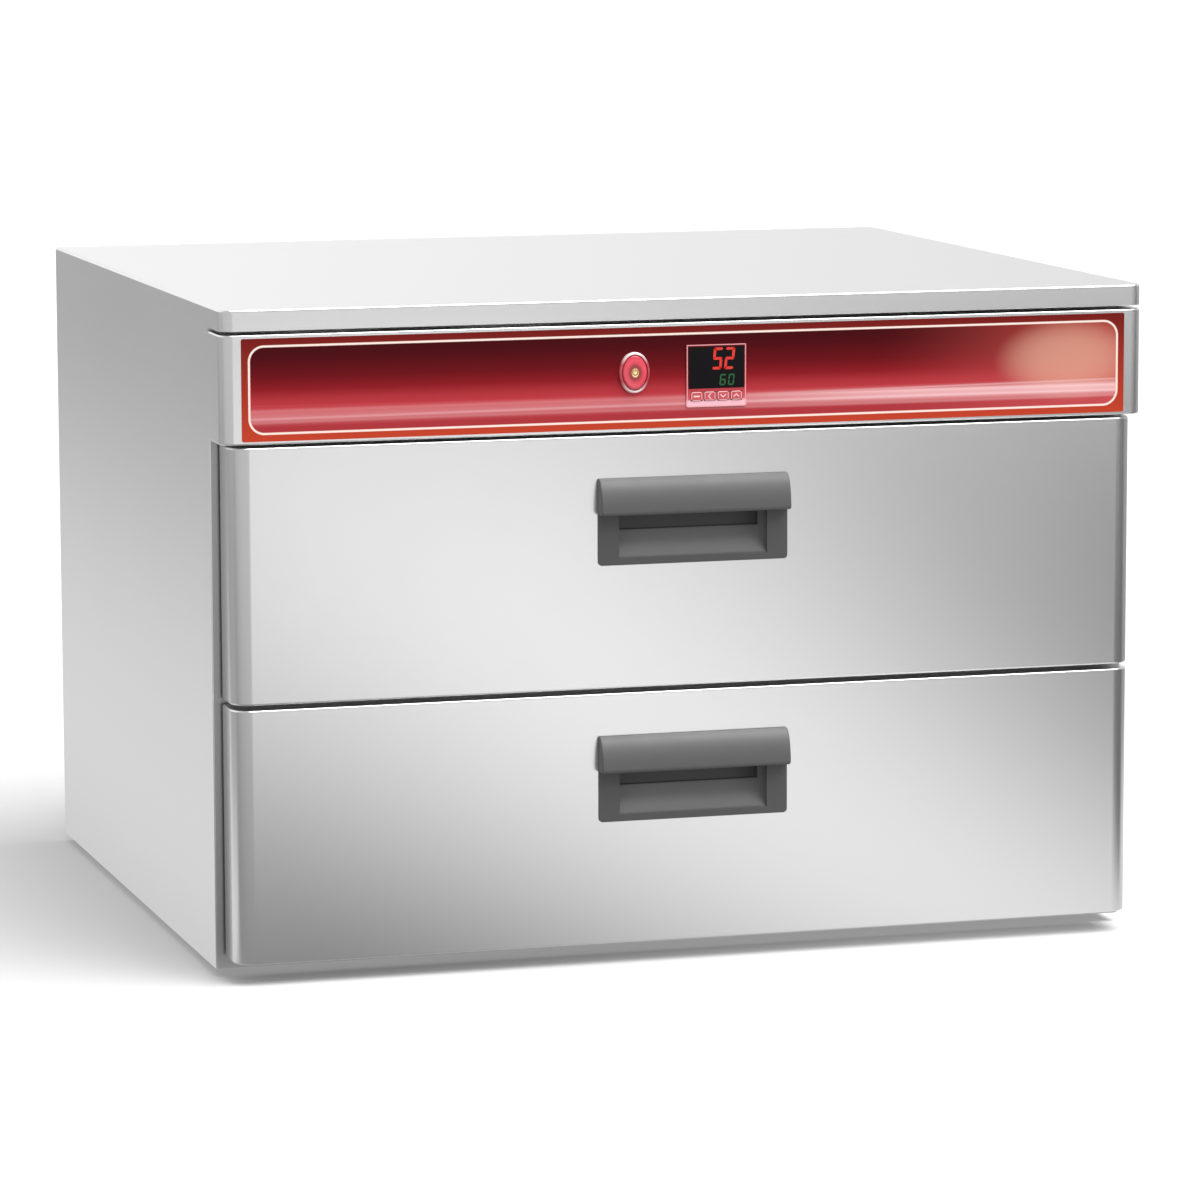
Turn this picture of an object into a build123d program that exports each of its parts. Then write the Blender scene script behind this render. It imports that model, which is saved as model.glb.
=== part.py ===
from build123d import *
import os

# Countertop warming drawer: a stainless cabinet with two insulated drawers on
# telescopic slides, each holding two gastronorm 1/1 pans over a tubular heating
# element, and a control fascia under the worktop lid. Millimetres, +Z up, front
# towards -Y, origin on the resting plane under the middle of the bounding box.

# ---- driving dimensions: cabinet ----
WIDTH = 738.0
HALF = WIDTH / 2
HEIGHT = 515.0
PAD = 7.0                      # height of the rubber pads under the base
FRONT_Y = -316.0               # plane of the lid edge, fascia and drawer fronts
FRAME_Y = -274.0               # plane of the cabinet's front frame
BACK_Y = 326.0                 # rear face of the back panel
SHEET = 1.2                    # outer stainless sheet
LINER = 1.0                    # inner stainless sheet
GAP = 0.3                      # assembly clearance between separate pieces
LID_THICK = 16.5
LID_Z = HEIGHT - LID_THICK     # underside of the lid
EDGE_R = 10.0                  # vertical rounding of lid and fascia corners

# ---- driving dimensions: fascia and controls ----
FASCIA_LOW, FASCIA_HIGH = 413.0, 496.0
OVERLAY_HALF, OVERLAY_LOW, OVERLAY_HIGH = 353.2, 415.5, 493.0
FILM = 0.4
CONTROL_Z = 454.6              # height of the controller's centre
BUTTON_Z = 458.6               # height of the button's centre
CONTROLLER_X = 18.5
DIN = 48.0                     # panel controller front, 1/16 DIN
DIN_CUTOUT = 45.0
BUTTON_X = -47.0
BUTTON_W, BUTTON_H = 24.6, 31.6
BUTTON_TRAVEL = 2.5
KEY_W, KEY_H, KEY_PITCH = 9.0, 7.0, 10.6
KEY_TRAVEL = 0.5

# ---- driving dimensions: chamber ----
CHAMBER_HALF = 345.0           # inner face of the chamber walls
CHAMBER_BACK = 300.0
CEILING_Z = 402.5
TRAY_Z = 424.0                 # underside of the control tray

# ---- driving dimensions: drawers ----
DRAWER_BOTTOMS = {"upper": 215.5, "lower": 16.5}
DRAWER_H = 195.5
DRAWER_HALF = 362.0
DRAWER_DEPTH = 38.0
DRAWER_R = 15.0
OPEN_LOW, OPEN_HIGH = 9.0, 187.0   # frame opening above the drawer's lower edge
PULL_W, PULL_H = 152.0, 67.0
PULL_UP = 95.5                 # bottom of the pull above the drawer's lower edge
PULL_OUT = 12.0                # how far the hood stands out
PULL_DEEP = 24.0
PULL_MOUTH = 119.0
RIM_UP = 160.0                 # pan rim above the drawer's lower edge
PAN_W, PAN_L, PAN_DEPTH = 325.0, 530.0, 100.0
PAN_START = -273.0             # front edge of the pan rims
CARRIER_HALF = 331.8
SLIDE_UP = 140.0               # slide centre above the drawer's lower edge
SLIDE_H, SLIDE_LENGTH = 45.0, 550.0
SLIDE_START = -272.0
ELEMENT_UP = 30.0
ELEMENT_R = 3.25
RUNS = [72.0 * i - 108.0 for i in range(4)]   # element runs, left to right
RUN_FRONT, RUN_REAR = -205.0, 225.0
PROBE_X, PROBE_Z = 0.0, 322.0


def block(x0, x1, y0, y1, z0, z1):
    """A box between two opposite corners."""
    middle = Pos((x0 + x1) / 2, (y0 + y1) / 2, (z0 + z1) / 2)
    return middle * Box(x1 - x0, y1 - y0, z1 - z0)


def bends(slab):
    """The long edges round the top and bottom of a slab, apart from its rear ones."""
    rear = slab.bounding_box().max.Y
    levels = slab.edges().group_by(Axis.Z)
    return [edge for edge in levels[0] + levels[-1] if edge.center().Y < rear - 0.01]


def both_sides(shape):
    """A left and a right copy of a piece."""
    return [shape, mirror(shape, Plane.YZ)]


def plan(half, front, back, radius, low, high):
    """An upright slab whose two front corners are rounded."""
    face = Pos(0, (front + back) / 2) * Rectangle(2 * half, back - front)
    face = fillet(face.vertices().group_by(Axis.Y)[0], radius)
    return extrude(Pos(0, 0, low) * face, high - low)


def yz_profile(edges, x0, x1):
    """A closed outline in Y and Z, extruded along X."""
    face = Plane.YZ * make_face(edges)
    return extrude(Pos(x0, 0, 0) * face, x1 - x0)


def save(name, shape):
    """One STEP file per piece; a group of like pieces stays separate solids."""
    if isinstance(shape, (list, tuple)):
        shape = Compound(children=list(shape))
    shape.label = name
    export_step(shape, f"parts/{name}.step")


# ---- cabinet shell ----

def worktop_lid():
    """Pressed tray: rounded front corners, rolled top edge, open underneath."""
    lid = plan(HALF, FRONT_Y, BACK_Y, EDGE_R, LID_Z, HEIGHT)
    lid = fillet(lid.faces().sort_by(Axis.Z)[-1].edges(), 2.0)
    hollow = plan(HALF - 1.5, FRONT_Y + 1.5, BACK_Y - 1.5, EDGE_R - 1.5, LID_Z, HEIGHT - 1.5)
    return lid - hollow


def back_screw_heights():
    """Heights of the screws down each edge of the back panel."""
    return [40.0, 250.0, 460.0]


def back_screw_points():
    """Centres of the back panel's screws, on the side panels' flanges."""
    return [(side * (HALF - 9.0), z) for side in (-1, 1) for z in back_screw_heights()]


def side_panel():
    """Left panel: outer skin with a folded flange along each of its four edges."""
    skin = block(-HALF, -HALF + SHEET, FRAME_Y, BACK_Y, PAD, LID_Z)
    inside = -HALF + SHEET
    front = block(inside, inside + 14, FRAME_Y + 1.5, FRAME_Y + 1.5 + SHEET, PAD + SHEET, LID_Z)
    rear = block(inside, inside + 15, BACK_Y - 2 * SHEET, BACK_Y - SHEET, PAD + SHEET, LID_Z)
    top = block(inside, inside + 15, FRAME_Y + 1.5, BACK_Y - SHEET, LID_Z - SHEET, LID_Z)
    foot = block(inside, inside + 12, FRAME_Y + 1.5, BACK_Y - SHEET, PAD + SHEET, PAD + 2 * SHEET)
    panel = skin + front + rear + top + foot
    for z in back_screw_heights():
        panel -= Pos(-HALF + 9.0, BACK_Y, z) * Rot(90, 0, 0) * Cylinder(2.1, 20)
    return panel


def vent_slots():
    """Two banks of round-ended cooling slots for the control bay."""
    slots = []
    for bank in (-130.0, 30.0):
        for row in range(5):
            slot = Plane.XZ * SlotOverall(70.0, 3.6)
            place = Pos(bank, BACK_Y + 2, 438.0 + 9.0 * row)
            slots.append(place * extrude(slot, 6.0))
    return slots


INLET_X, INLET_Z = 270.0, 458.0
INLET_W, INLET_H = 28.0, 20.5


def back_panel():
    """Flat rear sheet with cooling slots, the inlet cut-out and its screw holes."""
    panel = block(-HALF + SHEET, HALF - SHEET, BACK_Y - SHEET, BACK_Y, PAD + SHEET, LID_Z)
    for slot in vent_slots():
        panel -= slot
    panel -= Pos(INLET_X, BACK_Y, INLET_Z) * Box(INLET_W, 10, INLET_H)
    for x, z in back_screw_points():
        panel -= Pos(x, BACK_Y, z) * Rot(90, 0, 0) * Cylinder(2.1, 20)
    for side in (-1, 1):
        panel -= Pos(INLET_X + side * 20.0, BACK_Y, INLET_Z) * Rot(90, 0, 0) * Cylinder(1.6, 20)
    return panel


def cabinet_screws():
    """Pan-head screws that hold the back panel and the mains inlet."""
    screws = []
    for x, z in back_screw_points():
        screws.append(pan_screw(x, z, BACK_Y, 2.0, 3.7, 10.0))
    for side in (-1, 1):
        screws.append(pan_screw(INLET_X + side * 20.0, INLET_Z, BACK_Y + 1.0, 1.5, 2.7, 9.0))
    return screws


def pan_screw(x, z, seat, radius, head_radius, length):
    """One screw whose domed head sits on the plane y = seat and points to +Y."""
    shank = Pos(0, 0, -length / 2) * Cylinder(radius, length)
    head = Pos(0, 0, 0.5) * Cylinder(head_radius, 1.0)
    head = chamfer(head.edges().group_by(Axis.Z)[-1], 0.5)
    return Pos(x, seat, z) * Rot(-90, 0, 0) * (shank + head)


def base_panel():
    """Flat bottom sheet between the side panels, under their lower flanges."""
    inside = HALF - SHEET
    return block(-inside, inside, FRAME_Y + 1.5, BACK_Y - SHEET, PAD, PAD + SHEET)


PAD_X, PAD_FRONT, PAD_REAR = 320.0, -200.0, 275.0


def rubber_pads():
    """Four round pads under the base, well in from its edges."""
    pads = []
    for x in (-PAD_X, PAD_X):
        for y in (PAD_FRONT, PAD_REAR):
            pad = Pos(x, y, PAD / 2) * Cylinder(16.0, PAD)
            pads.append(chamfer(pad.edges().group_by(Axis.Z)[0], 0.6))
    return pads


def front_frame():
    """Face frame of two stiles and four rails, welded round the drawer bays and the control bay."""
    lower, upper = DRAWER_BOTTOMS["lower"], DRAWER_BOTTOMS["upper"]
    heights = [(PAD, lower + OPEN_LOW), (lower + OPEN_HIGH, upper + OPEN_LOW),
               (upper + OPEN_HIGH, TRAY_Z + 3), (LID_Z - 12, LID_Z)]
    bars = both_sides(block(CHAMBER_HALF, HALF - SHEET, FRAME_Y, FRAME_Y + 1.5, PAD, LID_Z))
    for low, high in heights:
        bars.append(block(-CHAMBER_HALF, CHAMBER_HALF, FRAME_Y, FRAME_Y + 1.5, low, high))
    return bars


def control_fascia():
    """Folded stainless channel with rounded ends and a rear upstand against the frame."""
    outer = plan(HALF, FRONT_Y, FRAME_Y, EDGE_R, FASCIA_LOW, FASCIA_HIGH)
    outer = fillet(bends(outer), 1.6)
    hollow = plan(HALF - SHEET, FRONT_Y + SHEET, FRAME_Y, EDGE_R - SHEET,
                  FASCIA_LOW + SHEET, FASCIA_HIGH - SHEET)
    fascia = outer - hollow
    fascia -= Pos(CONTROLLER_X, FRONT_Y, CONTROL_Z) * Box(DIN_CUTOUT, 10, DIN_CUTOUT)
    fascia -= oval(FRONT_Y - 5, FRONT_Y + 5, 1.0)
    inside = HALF - SHEET
    return fascia + block(-inside, inside, FRAME_Y - SHEET, FRAME_Y, FASCIA_HIGH - SHEET, LID_Z)


END_R = 10.5                   # radius at the top and bottom of the button's oval
SIDE_R = 19.2                  # radius of its flatter sides


def oval(front, rear, smaller):
    """An upright oval prism of four arcs on the button's centre, inset by smaller."""
    wide, high = BUTTON_W / 2, BUTTON_H / 2
    across, up = SIDE_R - wide, high - END_R
    reach = (END_R - smaller) / (SIDE_R - END_R)
    x, z = across * reach, up + up * reach
    side = ThreePointArc((x, -z), (wide - smaller, 0), (x, z))
    cap = ThreePointArc((x, z), (0, high - smaller), (-x, z))
    face = make_face([side, cap, mirror(side, Plane.YZ), mirror(cap, Plane.XZ)])
    return Pos(BUTTON_X, rear, BUTTON_Z) * extrude(Plane.XZ * face, rear - front)


def fascia_overlay():
    """Printed film on the fascia, cut out for the controller and the button."""
    middle = (OVERLAY_LOW + OVERLAY_HIGH) / 2
    outline = Plane.XZ * RectangleRounded(2 * OVERLAY_HALF, OVERLAY_HIGH - OVERLAY_LOW, 1.5)
    film = Pos(0, FRONT_Y, middle) * extrude(outline, FILM)
    film -= Pos(CONTROLLER_X, FRONT_Y, CONTROL_Z) * Box(DIN_CUTOUT, 10, DIN_CUTOUT)
    return film - oval(FRONT_Y - 5, FRONT_Y + 5, 1.0)


# ---- chamber and insulation ----

def chamber_wall():
    """Left wall of the heated chamber, from the frame to the rear wall."""
    outer = -CHAMBER_HALF - LINER
    return block(outer, -CHAMBER_HALF, FRAME_Y + 1.5, CHAMBER_BACK + LINER,
                 DRAWER_BOTTOMS["lower"] + OPEN_LOW - LINER, CEILING_Z + LINER)


def rear_wall():
    """Rear wall of the chamber, holed for the element ends and the probe."""
    wall = block(-CHAMBER_HALF, CHAMBER_HALF, CHAMBER_BACK, CHAMBER_BACK + LINER,
                 floor_top() - LINER, CEILING_Z + LINER)
    for bottom in DRAWER_BOTTOMS.values():
        for x in (RUNS[0], RUNS[-1]):
            wall -= Pos(x, CHAMBER_BACK + 5, bottom + ELEMENT_UP) * tube_hole()
    return wall - Pos(PROBE_X, CHAMBER_BACK, PROBE_Z) * Rot(90, 0, 0) * Cylinder(3.05, 10)


def floor_top():
    """Height of the chamber floor's upper face."""
    return DRAWER_BOTTOMS["lower"] + OPEN_LOW


def shelf_top():
    """Height of the shelf between the two drawers."""
    return DRAWER_BOTTOMS["upper"] - 1.0


def tube_hole():
    """Eight-sided hole that the heating element passes through, 10 deep towards -Y."""
    return extrude(Plane.XZ * RegularPolygon(ELEMENT_R + 0.08, 8), 10)


def floor_with_combs(top, bottom):
    """A chamber floor with two upright combs that hold the heating element."""
    sheet = block(-CHAMBER_HALF, CHAMBER_HALF, FRAME_Y + 1.5, CHAMBER_BACK, top - LINER, top)
    height = bottom + ELEMENT_UP
    for y in (-150.0, 150.0):
        comb = block(RUNS[0] - 12, RUNS[-1] + 12, y - 0.75, y + 0.75, top, height + 7)
        for x in RUNS:
            comb -= Pos(x, y + 5, height) * tube_hole()
        sheet += comb
    return sheet


def heating_element(bottom):
    """Element rod, eight-sided, bent back and forth; both ends leave through the rear wall."""
    z, last = bottom + ELEMENT_UP, len(RUNS) - 1
    turn = (RUNS[1] - RUNS[0]) / 2
    edges = []
    for i, x in enumerate(RUNS):
        rear = CHAMBER_BACK + 12.0 if i in (0, last) else RUN_REAR
        ends = [(x, rear, z), (x, RUN_FRONT, z)]
        if i % 2:
            ends.reverse()
        edges.append(Line(*ends))
        if i < last:
            out = ends[1][1] + (turn if i % 2 else -turn)
            edges.append(ThreePointArc(ends[1], (x + turn, out, z), (x + 2 * turn, ends[1][1], z)))
    path = Curve() + edges
    start = Plane(origin=(RUNS[0], CHAMBER_BACK + 12.0, z), x_dir=(1, 0, 0), z_dir=(0, -1, 0))
    return sweep(start * RegularPolygon(ELEMENT_R, 8), path=path)


def chamber_ceiling():
    """Top sheet of the chamber."""
    return block(-CHAMBER_HALF, CHAMBER_HALF, FRAME_Y + 1.5, CHAMBER_BACK, CEILING_Z, CEILING_Z + LINER)


def side_insulation():
    """Mineral wool slab between the left chamber wall and the side panel."""
    return block(-HALF + SHEET + 0.5, -CHAMBER_HALF - LINER - GAP, FRAME_Y + 3.5, BACK_Y - 12.0,
                 PAD + 3.0, TRAY_Z - GAP)


def rear_insulation():
    """Slab behind the chamber, pocketed for the element ends and the probe."""
    front = CHAMBER_BACK + LINER + GAP
    half = CHAMBER_HALF + LINER
    slab = block(-half, half, front, BACK_Y - 3.5, PAD + SHEET + GAP, TRAY_Z - GAP)
    for bottom in DRAWER_BOTTOMS.values():
        for x in (RUNS[0], RUNS[-1]):
            slab -= Pos(x, front, bottom + ELEMENT_UP) * Box(14, 26, 14)
    return slab - Pos(PROBE_X, front, PROBE_Z) * Box(18, 26, 18)


def top_insulation():
    """Slab over the chamber, holed for the over-temperature cut-out."""
    half = CHAMBER_HALF + LINER
    slab = block(-half, half, FRAME_Y + 3.5, CHAMBER_BACK + LINER, CEILING_Z + LINER + GAP, TRAY_Z - GAP)
    return slab - Pos(CUTOUT_X, CUTOUT_Y, TRAY_Z) * Cylinder(20.0, 60.0)


def base_insulation():
    """Slab under the chamber floor."""
    half = CHAMBER_HALF + LINER
    low, high = PAD + SHEET + GAP, floor_top() - LINER - GAP
    return block(-half, half, FRAME_Y + 3.5, CHAMBER_BACK + LINER, low, high)


# ---- electrics ----

CUTOUT_X, CUTOUT_Y = 120.0, 60.0
RELAY_X, RELAY_Y = -180.0, 60.0
TERMINAL_X, TERMINAL_Y = 200.0, 240.0


def control_tray():
    """Folded tray over the chamber that carries the relay and the terminals."""
    half, front, rear = HALF - SHEET - GAP, FRAME_Y + 3.2, BACK_Y - 2 * SHEET - GAP
    tray = block(-half, half, front, rear, TRAY_Z, TRAY_Z + 14)
    tray -= block(-half + SHEET, half - SHEET, front + SHEET, rear - SHEET, TRAY_Z + SHEET, TRAY_Z + 20)
    tray -= block(CONTROLLER_X - 40, CONTROLLER_X + 40, front - 1, front + 2, TRAY_Z + SHEET, TRAY_Z + 20)
    return tray - Pos(CUTOUT_X, CUTOUT_Y, TRAY_Z) * Cylinder(18.0, 10.0)


def heater_relay():
    """Solid-state relay on a finned heat sink."""
    base = TRAY_Z + SHEET
    sink = block(RELAY_X - 30, RELAY_X + 30, RELAY_Y - 25, RELAY_Y + 25, base, base + 14)
    for i in range(6):
        x = RELAY_X - 25 + 10 * i
        sink -= block(x - 3, x + 3, RELAY_Y - 26, RELAY_Y + 26, base + 1.5, base + 10)
    case = block(RELAY_X - 29, RELAY_X + 29, RELAY_Y - 22, RELAY_Y + 22, base + 14, base + 36)
    case = fillet(case.edges().filter_by(Axis.Z), 3.0)
    for x in (-20, 20):
        for y in (-14, 14):
            case += Pos(RELAY_X + x, RELAY_Y + y, base + 37) * Cylinder(4.0, 2.0)
    return sink + case


def terminal_block():
    """Five-way screw terminal block."""
    base = TRAY_Z + SHEET
    strip = block(TERMINAL_X - 32, TERMINAL_X + 32, TERMINAL_Y - 9, TERMINAL_Y + 9, base, base + 8)
    for i in range(5):
        x = TERMINAL_X - 24 + 12 * i
        pole = block(x - 4.5, x + 4.5, TERMINAL_Y - 9, TERMINAL_Y + 9, base + 8, base + 18)
        pole -= Pos(x, TERMINAL_Y, base + 18) * Cylinder(2.6, 8.0)
        strip += pole
    return strip


def safety_cutout():
    """Disc thermostat clamped on the chamber ceiling, with two blade terminals."""
    base = CEILING_Z + LINER
    cutout = block(CUTOUT_X - 15, CUTOUT_X + 15, CUTOUT_Y - 5, CUTOUT_Y + 5, base, base + 1)
    cutout += Pos(CUTOUT_X, CUTOUT_Y, base + 6) * Cylinder(8.0, 12.0)
    for x in (-4, 4):
        cutout += block(CUTOUT_X + x - 0.4, CUTOUT_X + x + 0.4, CUTOUT_Y - 3, CUTOUT_Y + 3, base + 12, base + 20)
    return cutout


def temperature_probe():
    """Probe stem through the rear wall, with its hexagonal collar behind the wall."""
    face = CHAMBER_BACK + LINER
    stem = Pos(PROBE_X, face - 15, PROBE_Z) * Rot(90, 0, 0) * Cylinder(3.0, 46.0)
    collar = extrude(Plane.XZ * RegularPolygon(6.0, 6), -5.0)
    return stem + Pos(PROBE_X, face, PROBE_Z) * collar


def power_inlet():
    """Appliance inlet: flange on the back panel, hollow shroud and three blades."""
    flange = Plane.XZ * RectangleRounded(50.0, 26.0, 6.0)
    inlet = Pos(INLET_X, BACK_Y, INLET_Z) * extrude(flange, -1.0)
    inlet += block(INLET_X - 13.7, INLET_X + 13.7, BACK_Y - 22, BACK_Y + 2, INLET_Z - 10, INLET_Z + 10)
    inlet -= block(INLET_X - 12, INLET_X + 12, BACK_Y - 16, BACK_Y + 4, INLET_Z - 8, INLET_Z + 8)
    for x, z in ((-7, -2.5), (7, -2.5), (0, 3.5)):
        inlet += block(INLET_X + x - 1, INLET_X + x + 1, BACK_Y - 16, BACK_Y - 1,
                       INLET_Z + z - 2, INLET_Z + z + 2)
    for side in (-1, 1):
        hole = Pos(INLET_X + side * 20.0, BACK_Y, INLET_Z) * Rot(90, 0, 0)
        inlet -= hole * Cylinder(1.6, 20)
    return inlet


# ---- controls on the fascia ----

SKIN_Y = FRONT_Y - FILM        # outer face of the graphic film
BEZEL = 1.0
WINDOW_W, WINDOW_LOW, WINDOW_HIGH = 44.6, CONTROL_Z - 10.0, CONTROL_Z + 22.0
KEY_Z = CONTROL_Z - 15.8
KEY_NAMES = ("mode_key", "left_key", "down_key", "up_key")


def key_x(index):
    """Centre of one of the four keys."""
    return CONTROLLER_X + (index - 1.5) * KEY_PITCH


def controller_case():
    """Panel controller: thin square front, body through the cut-out, window and key wells."""
    front = Plane.XZ * RectangleRounded(DIN, DIN, 1.5)
    case = Pos(CONTROLLER_X, SKIN_Y, CONTROL_Z) * extrude(front, BEZEL)
    half = DIN_CUTOUT / 2 - GAP
    case += block(CONTROLLER_X - half, CONTROLLER_X + half, SKIN_Y, SKIN_Y + 72,
                  CONTROL_Z - half, CONTROL_Z + half)
    half = WINDOW_W / 2
    case -= block(CONTROLLER_X - half, CONTROLLER_X + half, SKIN_Y - BEZEL - 1, SKIN_Y - BEZEL + 0.7,
                  WINDOW_LOW, WINDOW_HIGH)
    for index in range(4):
        well = Box(KEY_W + 0.5, 2 * (BEZEL + 2.5), KEY_H + 0.5)
        case -= Pos(key_x(index), SKIN_Y - BEZEL, KEY_Z) * well
    return case


def controller_window():
    """Clear lens over the two rows of digits."""
    half = WINDOW_W / 2 - 0.1
    return block(CONTROLLER_X - half, CONTROLLER_X + half, SKIN_Y - BEZEL, SKIN_Y - BEZEL + 0.7,
                 WINDOW_LOW + 0.1, WINDOW_HIGH - 0.1)


def controller_key(index):
    """One key cap with softened edges, standing just proud of the controller's front."""
    outline = Plane.XZ * RectangleRounded(KEY_W, KEY_H, 2.2)
    cap = Pos(key_x(index), SKIN_Y - BEZEL + 2.4, KEY_Z) * extrude(outline, 3.0)
    return chamfer(cap.edges().group_by(Axis.Y)[0], 0.3)


def controller_clamp():
    """Square clamp that grips the controller behind the fascia."""
    inner, outer = DIN_CUTOUT / 2 - GAP + 0.1, 29.0
    rear = FRONT_Y + SHEET
    clamp = block(CONTROLLER_X - outer, CONTROLLER_X + outer, rear, rear + 9,
                  CONTROL_Z - outer, CONTROL_Z + outer)
    return clamp - block(CONTROLLER_X - inner, CONTROLLER_X + inner, rear - 1, rear + 10,
                         CONTROL_Z - inner, CONTROL_Z + inner)


def switch_housing():
    """Oval bezel of the power switch, its neck and the contact block behind."""
    ring = oval(SKIN_Y - 2.6, SKIN_Y, 0.0)
    ring = chamfer(ring.edges().group_by(Axis.Y)[0], 1.2)
    housing = ring + oval(SKIN_Y, SKIN_Y + 4, 1.3)
    housing += block(BUTTON_X - 12, BUTTON_X + 12, SKIN_Y + 4, SKIN_Y + 30, BUTTON_Z - 16, BUTTON_Z + 16)
    return housing - oval(SKIN_Y - 5, SKIN_Y + 9, 2.2)


def power_button():
    """Domed oval cap that slides in the switch housing."""
    cap = oval(SKIN_Y - 3.4, SKIN_Y + 6, 2.5)
    return fillet(cap.edges().group_by(Axis.Y)[0], 1.6)


# ---- slides ----

def channel(web, lips, half_height, z):
    """C section rail on the right-hand side, its web and lips given in X."""
    thick = 1.2
    inward = thick if lips > web else -thick
    low, high = sorted((web, web + inward))
    near, far = sorted((web, lips))
    end = SLIDE_START + SLIDE_LENGTH
    rail = block(low, high, SLIDE_START, end, z - half_height, z + half_height)
    for side in (-1, 1):
        a, b = sorted((z + side * half_height, z + side * (half_height - thick)))
        rail += block(near, far, SLIDE_START, end, a, b)
    return rail


def slide_outer(bottom):
    """Fixed members, screwed to the chamber walls."""
    return both_sides(channel(CHAMBER_HALF, 334.6, SLIDE_H / 2, bottom + SLIDE_UP))


def slide_middle(bottom):
    """Middle members, which travel half as far as the drawer."""
    return both_sides(channel(342.2, 334.0, SLIDE_H / 2 - 1.5, bottom + SLIDE_UP))


def slide_inner(bottom):
    """Moving members, screwed to the sides of the pan carrier."""
    return both_sides(channel(CARRIER_HALF, 339.8, SLIDE_H / 2 - 3.0, bottom + SLIDE_UP))


# ---- drawers ----

def pull_place(bottom):
    """Where a pull's lower edge meets the drawer front."""
    return Pos(0, FRONT_Y, bottom + PULL_UP)


def drawer_front(bottom):
    """Outer skin: rounded vertical edges, open at the rear, cut out for the pull."""
    skin = plan(DRAWER_HALF, FRONT_Y, FRONT_Y + DRAWER_DEPTH, DRAWER_R, bottom, bottom + DRAWER_H)
    skin = fillet(bends(skin), 1.6)
    skin -= plan(DRAWER_HALF - SHEET, FRONT_Y + SHEET, FRONT_Y + DRAWER_DEPTH, DRAWER_R - SHEET,
                 bottom + SHEET, bottom + DRAWER_H - SHEET)
    return skin - pull_place(bottom) * Pos(0, 0, PULL_H / 2) * Box(124.0, 10, 63.4)


def drawer_back(bottom):
    """Inner pan that closes the rear of the drawer front."""
    half, rear = DRAWER_HALF - SHEET - 0.1, FRONT_Y + DRAWER_DEPTH
    low, high = bottom + SHEET + 0.1, bottom + DRAWER_H - SHEET - 0.1
    tray = block(-half, half, rear - 12, rear, low, high)
    return tray - block(-half + LINER, half - LINER, rear - 13, rear - LINER, low + LINER, high - LINER)


def drawer_core(bottom):
    """Insulation inside the drawer front, hollowed round the pull."""
    inset = SHEET + LINER + 0.6
    core = plan(DRAWER_HALF - inset, FRONT_Y + SHEET + GAP, FRONT_Y + DRAWER_DEPTH - LINER - GAP,
                DRAWER_R - inset, bottom + inset, bottom + DRAWER_H - inset)
    return core - pull_place(bottom) * block(-68, 68, -5, 28, -3, PULL_H + 3)


def drawer_gasket(bottom):
    """Soft seal round the opening, between drawer front and cabinet frame."""
    rear = FRONT_Y + DRAWER_DEPTH
    seal = block(-358, 358, rear, FRAME_Y - 0.4, bottom + 1.8, bottom + DRAWER_H - 1.8)
    return seal - block(-349.5, 349.5, rear - 1, FRAME_Y, bottom + 7, bottom + DRAWER_H - 6.6)


PULL_RIM = 1.2
HOOD_LOW = 39.0
WALL = 2.0


def pull_hood():
    """Quarter-elliptical hood over the mouth, its ends and lip rounded."""
    arc = EllipticalCenterArc((-PULL_RIM, HOOD_LOW), PULL_OUT - PULL_RIM, PULL_H - HOOD_LOW,
                              start_angle=90, arc_size=90)
    back = Polyline((-PULL_OUT, HOOD_LOW), (0, HOOD_LOW), (0, PULL_H), (-PULL_RIM, PULL_H))
    hood = yz_profile([arc, back], -PULL_W / 2, PULL_W / 2)
    lip = hood.edges().filter_by(Axis.X).sort_by(Axis.Y)[0]
    hood = fillet(lip, 3.0)
    ends = hood.edges().filter_by(GeomType.ELLIPSE)
    return fillet(ends, 1.2)


def pull_cavity():
    """Finger space: mouth under the lip, ramp behind it, pocket up inside the hood."""
    inner = EllipticalCenterArc((-PULL_RIM, HOOD_LOW), PULL_OUT - PULL_RIM - 2.5, 23.0,
                                start_angle=90, arc_size=90)
    walls = Polyline((2.5 - PULL_OUT, HOOD_LOW), (-20, HOOD_LOW), (-20, 5), (-PULL_RIM, 5),
                     (PULL_DEEP, 25), (PULL_DEEP, 57))
    crown = RadiusArc((PULL_DEEP, 57), (PULL_DEEP - 5, 62), -5)
    ceiling = Line((PULL_DEEP - 5, 62), (-PULL_RIM, 62))
    return yz_profile([inner, walls, crown, ceiling], -PULL_MOUTH / 2, PULL_MOUTH / 2)


def pull_tub():
    """Outside of the recess behind the drawer skin, with four snap wedges."""
    deep = PULL_DEEP + WALL
    outline = Polyline((0, 3), (deep, 23.5), (deep, 60), (deep - 4, 64), (0, 64), (0, 3))
    half = PULL_MOUTH / 2 + WALL
    tub = yz_profile([outline], -half, half)
    for side in (-1, 1):
        wedge = Polyline((half, 1.4), (half + 2, 1.4), (half, 8), (half, 1.4))
        face = Plane.XY * make_face([wedge])
        for low in (30.0, 50.0):
            hook = Pos(0, 0, low) * extrude(face, 8)
            tub += hook if side > 0 else mirror(hook, Plane.YZ)
    return tub


def pull_handle(bottom):
    """Recessed pull moulded in one piece: rim plate, hood, tub and finger space."""
    plate = Pos(0, 0, PULL_H / 2) * extrude(Plane.XZ * RectangleRounded(PULL_W, PULL_H, 3.0), PULL_RIM)
    handle = plate + pull_hood() + pull_tub() - pull_cavity()
    return pull_place(bottom) * handle


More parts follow.
